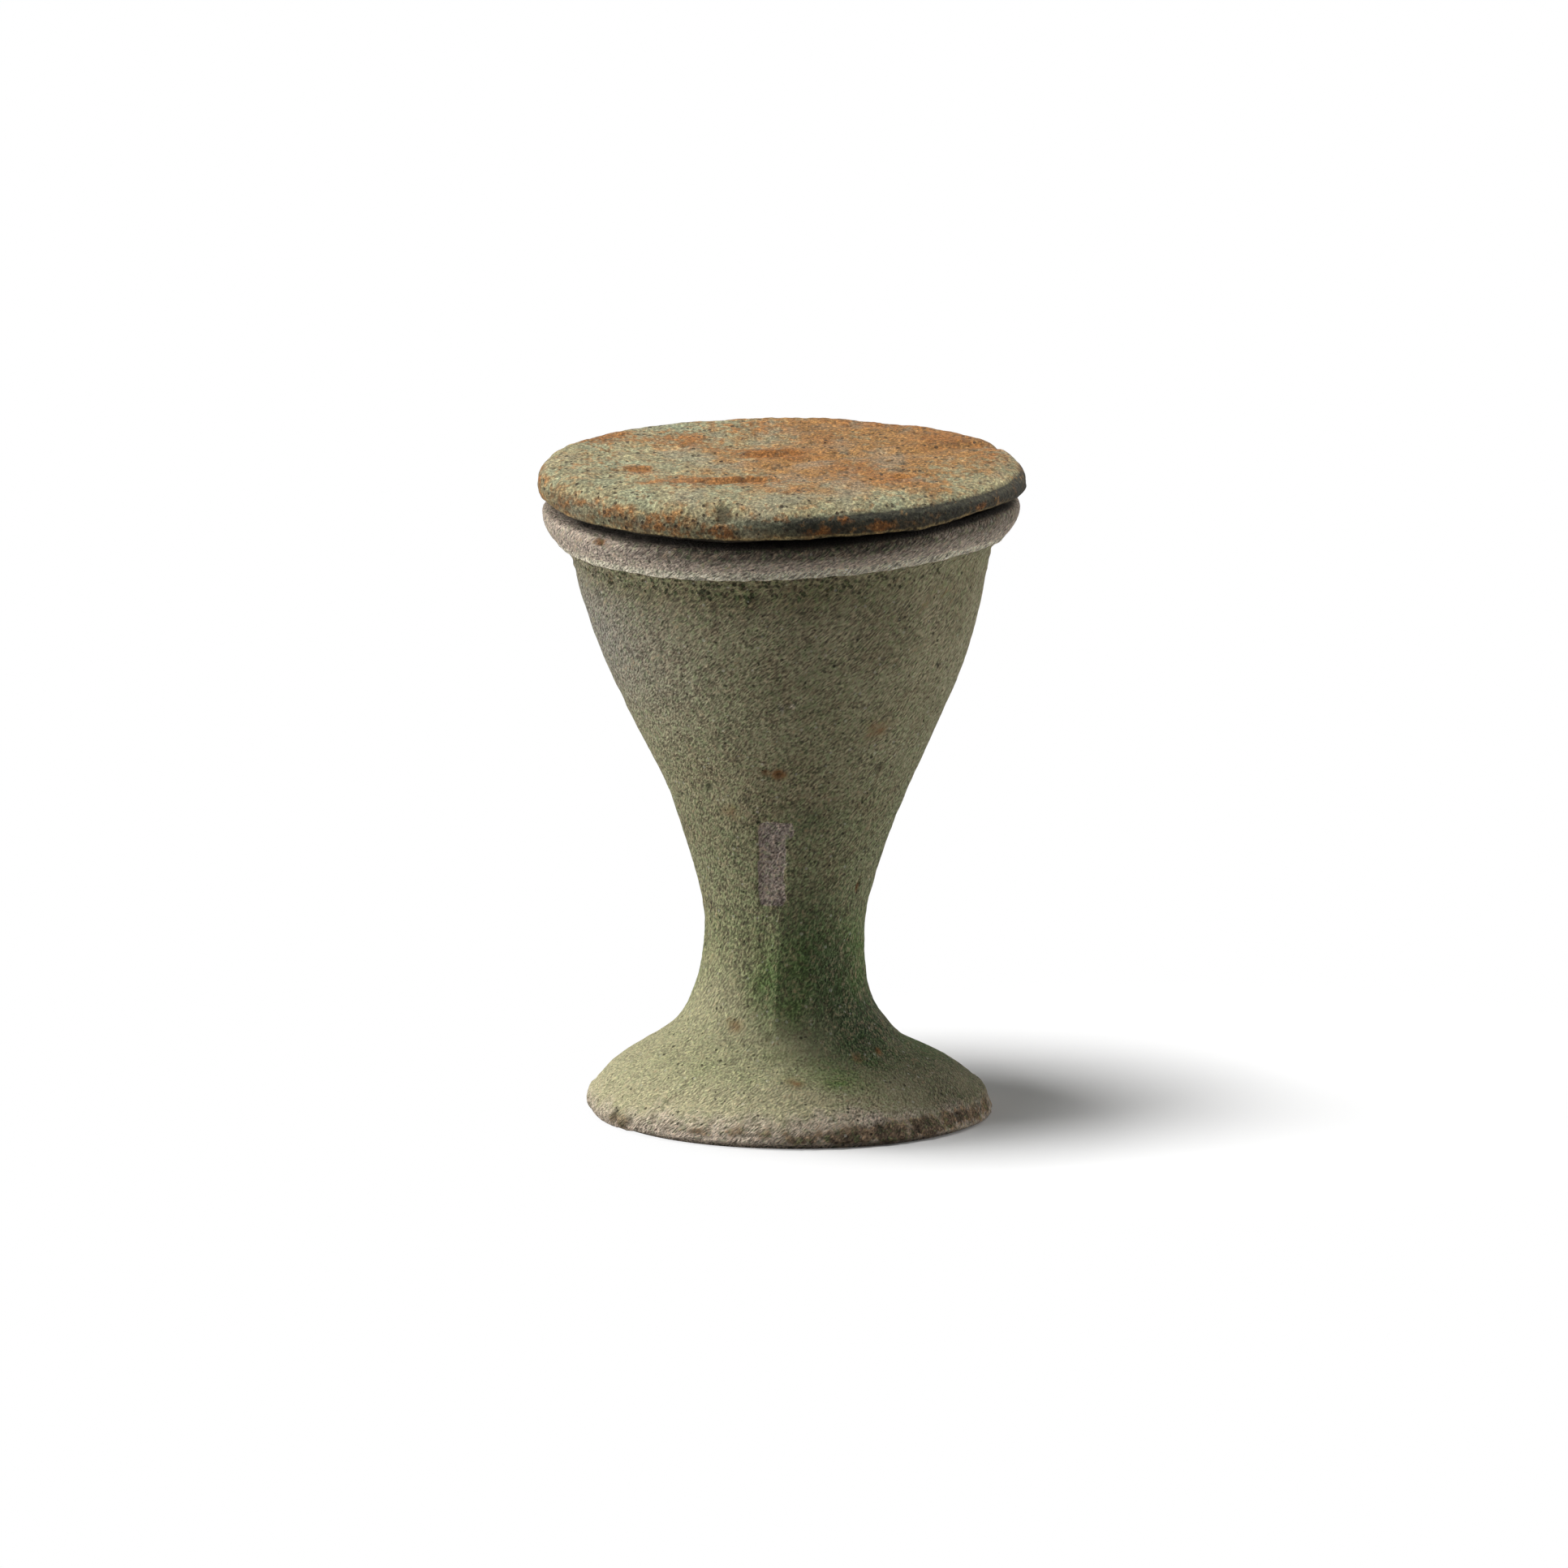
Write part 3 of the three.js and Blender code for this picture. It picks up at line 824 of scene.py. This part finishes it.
# Places on the top face: middle X and Y, half width and half depth in mm, strength
lidOchre = [
    (13, 6, 14, 18, 0.75), (17, 20, 9, 8, 0.5), (22, 12, 6, 12, 0.5), (4, -6, 9, 10, 0.55),
    (-8, -14, 8, 6, 0.3), (-12, 10, 7, 6, 0.35), (0, -21, 10, 4, 0.4), (0, 21, 9, 7, 0.3),
    (-21, 18, 5, 5, 0.4), (6, 25, 10, 6, 0.35), (14, -14, 9, 8, 0.4), (-4, 2, 9, 8, 0.3),
]
lidRust = [
    (-5.5, -12.8, 5.8, 2.1, 1.3), (-12.5, -12.0, 3, 2.4, 0.7), (-1, 5.0, 4.8, 3.6, 1.1),
    (-17.8, -5.4, 2.6, 3.2, 1.0), (-22.5, 15.5, 3.8, 5, 0.95), (-12.5, 14.5, 4.2, 4.2, 0.75),
    (-8, 10, 2.6, 2.6, 0.6), (14, 25, 9, 4.5, 0.8), (21, 14, 5.5, 7, 0.8), (9, -4, 5, 6, 0.55),
    (14, -12, 5, 4, 0.6), (-16, -14, 3, 3, 0.5), (5, 14, 5, 5, 0.5), (2, -20, 4, 3, 0.45),
    (26, 3, 2.5, 7, 0.5), (-4, 22, 5, 4, 0.5), (-24, -1, 2.5, 4, 0.4),
]
lidTeal = [
    (24, 17, 4, 5, 0.5), (-15, 22, 5, 5, 0.5), (2, 12, 5, 4, 0.3), (-25, -6, 4, 6, 0.35),
    (-14, -2, 6, 6, 0.35), (-9, -22, 12, 6, 0.28), (10, -23, 12, 5, 0.3), (-12, 5, 3, 3, 0.4),
    (27, 0, 2.5, 6, 0.4),
]
# Furrows where the glaze crawled: X, Y, half length, half width, depth
lidFurrows = [
    (-5.5, -12.8, 5.0, 1.2, 0.36), (-1, 4.6, 3.8, 1.7, 0.36), (-17.8, -5.7, 1.9, 1.2, 0.34),
    (14.8, -10.5, 1.2, 0.8, 0.25),
]
# The large pit near the front: X, Y, size, depth, darkness
lidPit = (-7.2, -28.0, 1.1, 0.8, 1.2)
# Places round the edge: turn, height, half width and half height, strength
edgeRust = [
    (-2, 80.4, 1.5, 0.8, 1.0), (24, 78.6, 1.3, 0.8, 1.1), (15, 79.8, 0.8, 0.6, 0.8), (-60, 79.8, 4, 1.8, 0.5),
    (55, 79.2, 0.9, 0.7, 0.8), (-14, 78.2, 2.5, 1.0, 0.8), (-28, 78.8, 4, 1.2, 0.7), (9, 78.2, 1.6, 0.8, 0.8),
    (-45, 79.6, 4, 1.4, 0.6), (120, 79, 6, 1.2, 0.6), (-130, 79.5, 8, 1.3, 0.5), (-85, 80, 5, 1.5, 0.6),
]
edgeTeal = [
    (-52, 79.6, 8, 1.6, 0.4), (22, 80.2, 9, 1.0, 1.0), (48, 80.4, 7, 1.0, 0.7), (3, 79.3, 6, 1.2, 0.8),
    (-12, 79.2, 4, 1.2, 0.6), (150, 80, 20, 2, 0.5),
]
# dark spots on the edge, and painted shade over the rounded edge at the front right
edgeDarkSpotsAndPaintedShade = [
    (-64, 79.2, 4, 1.3, 0.5), (-50, 78.7, 3, 1.0, 0.4), (-36, 78.4, 5, 0.8, 0.5), (26, 79.2, 13, 1.9, 2.1),
    (60, 79.9, 14, 2.6, 2.3), (80, 79.9, 8, 2.2, 0.8), (90, 79.5, 10, 1.6, 0.6), (-16, 78.2, 4, 0.6, 0.4),
    (170, 79.2, 16, 1.2, 0.4),
]


def lidRows():
    d = lid
    bossFoot = d["seatHeight"] - d["bossDepth"]
    bossEdge = (d["bossRadius"] - d["bossRound"], bossFoot)
    bossSide = (d["bossRadius"], bossFoot + d["bossRound"])
    edge = smoothPath(d["edge"])
    bossRoot = (d["bossRadius"], edge[0][1])
    return spacedRows([
        (straight((0, bossFoot), bossEdge), d["innerSpacing"]),
        (corner(bossEdge, (d["bossRadius"], bossFoot), bossSide), d["outerSpacing"]),
        (straight(bossSide, bossRoot), d["outerSpacing"]),
        (straight(bossRoot, edge[0]), d["outerSpacing"]),
        (edge, d["outerSpacing"] * 0.6),
        (straight(edge[-1], (0, d["seatHeight"] + d["thickness"])), d["outerSpacing"]),
    ])


def lidZone(name, value):
    return smoothStep(*lidZones[name], value)


def blots(p, marks):
    # soft oval patches on the top face
    ovals = (s * np.exp(-((p.x - a) / w) ** 2 - ((p.y - b) / k) ** 2) for a, b, w, k, s in marks)
    return sum(ovals) * p.onTop


def lidMasks(p, formed):
    # how much of each tone every point has, from its place before (p) and after (formed) the shaping by hand
    onEdge = (1 - p.onTop) * p.shown
    clouds = (0.25 * p.broad + 0.35 * p.medium + 0.15 * p.fine) * p.shown
    return {
        "ochre": blots(p, lidOchre) + 0.25 * onEdge + clouds + 0.15,
        "rust": blots(formed, lidRust) + spots(formed, edgeRust) * onEdge,
        "teal": blots(formed, lidTeal) + spots(formed, edgeTeal) * onEdge,
        # dark spots and painted shade on the edge
        "dark": spots(formed, edgeDarkSpotsAndPaintedShade) * onEdge,
        "paintedGapShade": lidZone("paintedGapShade", formed.z) * lidZone("paintedGapShadeRadius", p.r),
        # painted light on the lower corner at the front
        "paintedLightLowerEdge": 1.2 * ring(p.z, *lid["paintedLightLowerEdge"]) * p.shown * p.front,
    }


def lidRelief(p):
    # height of the skin over the turned form, outwards, and a mask of the pits in it
    x, y, z = p.x, p.y, p.z
    lift = 0.16 * cloud(p, 14, 2, 24) + 0.1 * p.medium + 0.08 * p.fine
    for atX, atY, wide, deep, depth in lidFurrows:
        bend = y - atY - 0.5 * np.sin((x - atX) / 2.1)
        profile = ring(bend, deep, deep) - 1.2 * np.exp(-(bend / (deep * 0.7)) ** 2)
        lift += p.onTop * depth * profile * np.exp(-((x - atX) / wide) ** 4)
    random = np.random.default_rng(11)
    many = lid["scatteredPits"]
    across, along = random.uniform(-29, 29, many), random.uniform(-29, 29, many)
    sizes = random.uniform(0.2, 0.4, many)
    pits = [(a, b, s, 0.5 * s, 0.7) for a, b, s in zip(across, along, sizes)] + [lidPit]
    pore = np.zeros_like(z)
    for atX, atY, size, depth, tone in pits:
        hole = np.exp(-(np.hypot(x - atX, (y - atY) / 1.8) / size) ** 4) * p.shown * (z > 79.5)
        lift -= depth * hole
        pore = np.maximum(pore, tone * hole)
    # a flake gone from the right of the back, and a lumpy lower edge
    lift -= 0.5 * spot(p, 112, 81.0, 1.6, 0.9) * p.shown
    lift += lidZone("lowerEdge", z) * p.shown * 0.12 * cloud(p, 2.4, 2, 26)
    lift[p.rows <= p.seatRow] *= 0.1
    return lift, pore


def makeLid():
    radius, height, outR, outZ = lidRows()
    p = turnedPoints(radius, height, lid["turns"])
    p.seatRow = p.rows[radius > lid["edge"][0][0] - 0.01].min()
    p.shown = wholeRows(p.rows > p.seatRow, p)
    p.onTop = lidZone("top", p.z) * p.shown
    p.broad = cloud(p, 9, 3, 21, (1, 1.6, 1))
    p.medium = cloud(p, 3, 3, 22, (1, 1.6, 1))
    p.fine = cloud(p, 1.1, 2, 23, (1, 1.5, 1))
    lift, pore = lidRelief(p)
    x, y, z = raised(p, lift, outR, outZ)
    climb = roundTheTurn(p.t, lid["lowerRise"]) * lidZone("lowerRiseRadius", p.r)
    climb = climb * (1 - lidZone("lowerRiseEnd", z))
    roll = lid["frontRoll"] * lidZone("rollRadius", p.r) * lidZone("roll", z) * (0.2 + 0.8 * p.front)
    rise = lid["backRise"] * lidZone("backRadius", p.r) * lidZone("back", z)
    roll -= rise * smoothStep(0.3, -0.5, np.cos(p.t))
    tilt = lid["backTilt"] * np.sin(p.t) * smoothStep(-5, 25, y) * lidZone("tilt", z)
    z = z + (climb - roll + tilt) * p.shown
    # the flat seat never reaches below the rim
    seat = z[p.seatRow:]
    z[p.seatRow:] = np.where(p.r[p.seatRow:] < 26.5, np.maximum(seat, lid["seatHeight"] + 0.01), seat)
    formed = SimpleNamespace(x=x, y=y, z=z, r=p.r, t=p.t, onTop=p.onTop)
    masks = {**lidMasks(p, formed), "pore": pore}
    piece = turnedMesh("faienceLid", x, y, z, masks)
    piece.data.materials.append(stainedFaience())
    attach(piece, "lid")
    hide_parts("lid")
    return piece


# The same faience with a paler glaze, stained by iron in the ground: ochre clouds, rust in the
# furrows, blue-grey where the glaze is thick round the edge, and many small open bubbles.
lidFinish = {
    "sage": "#978963",
    "darkGrain": "#2c1f0e",
    # sizes in mm, with the grain and pores drawn near the coarse end here too
    "grainSize": 0.36,
    "mottleSize": 1.5,
    "cloudSize": 6,
    "freckleSize": 0.9,
    "poreSpacing": 0.68,
    "poreChance": 0.42,
    "poreCover": 0.85,
    "strokeShape": (1.0, 0.6, 1.0),
    "grainSpread": 2.4,
    "mottleSpread": 1.55,
    "mottleRelief": 0.7,
    "reliefDepth": 0.5,
    "roughness": 0.7,
    "specular": 0.22,
    # clouds, freckles and layers have the same entries as the cup's
    "blueGreyClouds": ("#848a70", 0.42, 0.58, 0.7),
    "orangeFreckles": ("#a8692a", 0.5, 0.68, 0.3),
    "slateClouds": ("#838e84", 0.5, 0.38, 0.3),
    "ochre": [("ochre", "#8e622e", 0.3, 1.2, 0.86)],
    "stains": [
        ("teal", "#7f8a74", 0.45, 0.9, 0.75),
        # dark spots and painted shade on the edge
        ("dark", "#27251c", 0.42, 0.9, 0.92),
        ("rust", "#845426", 0.3, 1.6, 0.85),
        # painted light on the lower corner at the front
        ("paintedLightLowerEdge", "#a38d60", 0.4, 1.0, 0.6),
    ],
    # dark pores, and painted shade in the gap over the rim
    "hollows": [
        ("pore", "#2c1f0e", 0.45, 0.3, 0.7),
        ("paintedGapShade", "#130f0a", 0.45, 0.5, 0.95),
    ],
}


def stainedFaience():
    look = lidFinish
    material = emptyMaterial("stainedFaience")
    place = addNode(material, "ShaderNodeTexCoord").outputs["Object"]
    # the lid was smoothed back and forth, so its pattern is drawn out along Y
    drawn = addNode(material, "ShaderNodeMapping", {"Vector": place, "Scale": look["strokeShape"]}).outputs[0]
    grain, mottle, clouds, freckle = [
        addNode(material, "ShaderNodeTexNoise", {
            "Vector": drawn, "Scale": 1 / (look[size] * mm), "Detail": detail, "Roughness": 0.62,
        }).outputs["Fac"]
        for size, detail in (("grainSize", 3), ("mottleSize", 5), ("cloudSize", 3), ("freckleSize", 2))
    ]
    both = addNode(material, "ShaderNodeMath", {0: freckle, 1: mottle}, operation="ADD")
    wobble = addNode(material, "ShaderNodeMath", {0: both.outputs[0], 1: 1.0}, operation="SUBTRACT")
    wobble = wobble.outputs[0]

    colour = noiseLayer(material, toLinear(look["sage"]), clouds, *look["blueGreyClouds"])
    colour = frayedLayers(material, colour, wobble, look["ochre"])
    colour = noiseLayer(material, colour, freckle, *look["orangeFreckles"])
    colour = noiseLayer(material, colour, clouds, *look["slateClouds"])
    colour = frayedLayers(material, colour, wobble, look["stains"])
    colour = shadeByGrain(material, colour, grain, look["grainSpread"])
    colour = shadeByGrain(material, colour, mottle, look["mottleSpread"])
    bubbles = openPores(material, drawn, look["poreSpacing"], look["poreChance"])
    colour = noiseLayer(material, colour, bubbles, look["darkGrain"], 0.0, 1.0, look["poreCover"])
    colour = frayedLayers(material, colour, wobble, look["hollows"])
    return matteGlaze(material, colour, grain, mottle, bubbles, look)


# Studio: pale floor, a broad soft lamp nearly overhead, weaker side lamps and a long lens

studio = {
    "floorSize": 12,
    # the paper turns white over this distance from the middle of the shadow, in metres
    "shadowMiddle": (0.048, 0.008, 0),
    "shadowReach": (0.045, 0.075),
    "bounce": 0.45,
    "paper": 0.94,
    "ambient": 0.09,
    # camera: all in mm, but the elevation in degrees
    "lens": 1200,
    "sensor": 36,
    "frameWidth": 193.2,
    "elevation": 11.05,
    "target": (0.25, 0, 41.15),
    # direction each lamp shines from (turn, elevation), distance, width and height in m, watts
    "lamps": {
        "overhead": (-66, 78, 0.60, 0.24, 0.24, 3.9),
        "leftSide": (-91, 10, 0.55, 0.30, 0.17, 1.9),
        "rightSide": (104, 10, 0.60, 0.30, 0.17, 1.3),
    },
}


def aimObject(name, data, target, turn, elevation, distance):
    # places a lamp or the camera so that it looks at the target
    a, e = math.radians(turn), math.radians(elevation)
    away = Vector((math.sin(a) * math.cos(e), -math.cos(a) * math.cos(e), math.sin(e)))
    aimed = placeObject(name, data)
    aimed.location = target + away * distance
    aimed.rotation_euler = (-away).to_track_quat("-Z", "Y").to_euler()
    return aimed


def makeFloor():
    bpy.ops.mesh.primitive_plane_add(size=studio["floorSize"], location=(0, 0, 0))
    floor = bpy.context.object
    floor.name = "floor"
    floor.data.materials.append(paperFloor())


def makeLamps(target):
    for name, (turn, elevation, distance, width, height, watts) in studio["lamps"].items():
        lamp = bpy.data.lights.new(name, "AREA")
        lamp.shape = "RECTANGLE"
        lamp.size = width
        lamp.size_y = height
        lamp.energy = watts
        aimObject(name, lamp, target, turn, elevation, distance)


def makeWorld():
    # white to the camera and in reflections, and a plain level for the object
    world = bpy.data.worlds.new("studioWorld")
    world.use_nodes = True
    world.node_tree.nodes.clear()
    rays = addNode(world, "ShaderNodeLightPath")
    seen = addNode(world, "ShaderNodeMath", {
        0: rays.outputs["Is Camera Ray"], 1: rays.outputs["Is Glossy Ray"],
    }, operation="ADD")
    seen = addNode(world, "ShaderNodeMath", {0: seen.outputs[0], 1: rays.outputs["Is Transmission Ray"]},
                   operation="ADD", use_clamp=True)
    strength = addNode(world, "ShaderNodeMapRange", {
        "Value": seen.outputs[0], "To Min": studio["ambient"], "To Max": 1.0,
    })
    white = addNode(world, "ShaderNodeBackground", {"Color": (1, 1, 1, 1), "Strength": strength.outputs[0]})
    addNode(world, "ShaderNodeOutputWorld", {"Surface": white.outputs[0]})
    bpy.context.scene.world = world


def makeCamera(target):
    lens = bpy.data.cameras.new("camera")
    lens.lens = studio["lens"]
    lens.sensor_width = studio["sensor"]
    distance = studio["frameWidth"] * mm * studio["lens"] / studio["sensor"]
    lens.clip_end = distance * 3
    bpy.context.scene.camera = aimObject("camera", lens, target, 0, studio["elevation"], distance)


# White paper sweep: it shows white to the camera away from the object, and keeps the shadow near it.
def paperFloor():
    material = emptyMaterial("paperFloor")
    place = addNode(material, "ShaderNodeTexCoord").outputs["Object"]
    away = addNode(material, "ShaderNodeVectorMath", {0: place, 1: studio["shadowMiddle"]},
                   operation="DISTANCE")
    near, far = studio["shadowReach"]
    beyond = addNode(material, "ShaderNodeMapRange", {
        "Value": away.outputs["Value"], "From Min": near, "From Max": far,
    }, interpolation_type="SMOOTHSTEP").outputs[0]
    rays = addNode(material, "ShaderNodeLightPath")
    paper = addNode(material, "ShaderNodeBsdfDiffuse", {"Color": (studio["paper"],) * 3 + (1,)})
    white = addNode(material, "ShaderNodeEmission", {"Color": (1, 1, 1, 1), "Strength": 1.0})
    shown = addNode(material, "ShaderNodeMixShader", {0: beyond, 1: paper.outputs[0], 2: white.outputs[0]})
    bounce = addNode(material, "ShaderNodeBsdfDiffuse", {"Color": (studio["bounce"],) * 3 + (1,)})
    surface = addNode(material, "ShaderNodeMixShader",
                      {0: rays.outputs["Is Camera Ray"], 1: bounce.outputs[0], 2: shown.outputs[0]})
    addNode(material, "ShaderNodeOutputMaterial", {"Surface": surface.outputs[0]})
    return material


def makeStudio():
    target = Vector(studio["target"]) * mm
    makeFloor()
    makeLamps(target)
    makeWorld()
    makeCamera(target)
    bpy.context.scene.view_settings.view_transform = "Standard"


print("camera, lamps and floor")
makeStudio()
print("cup")
makeCup()
print("lid")
makeLid()
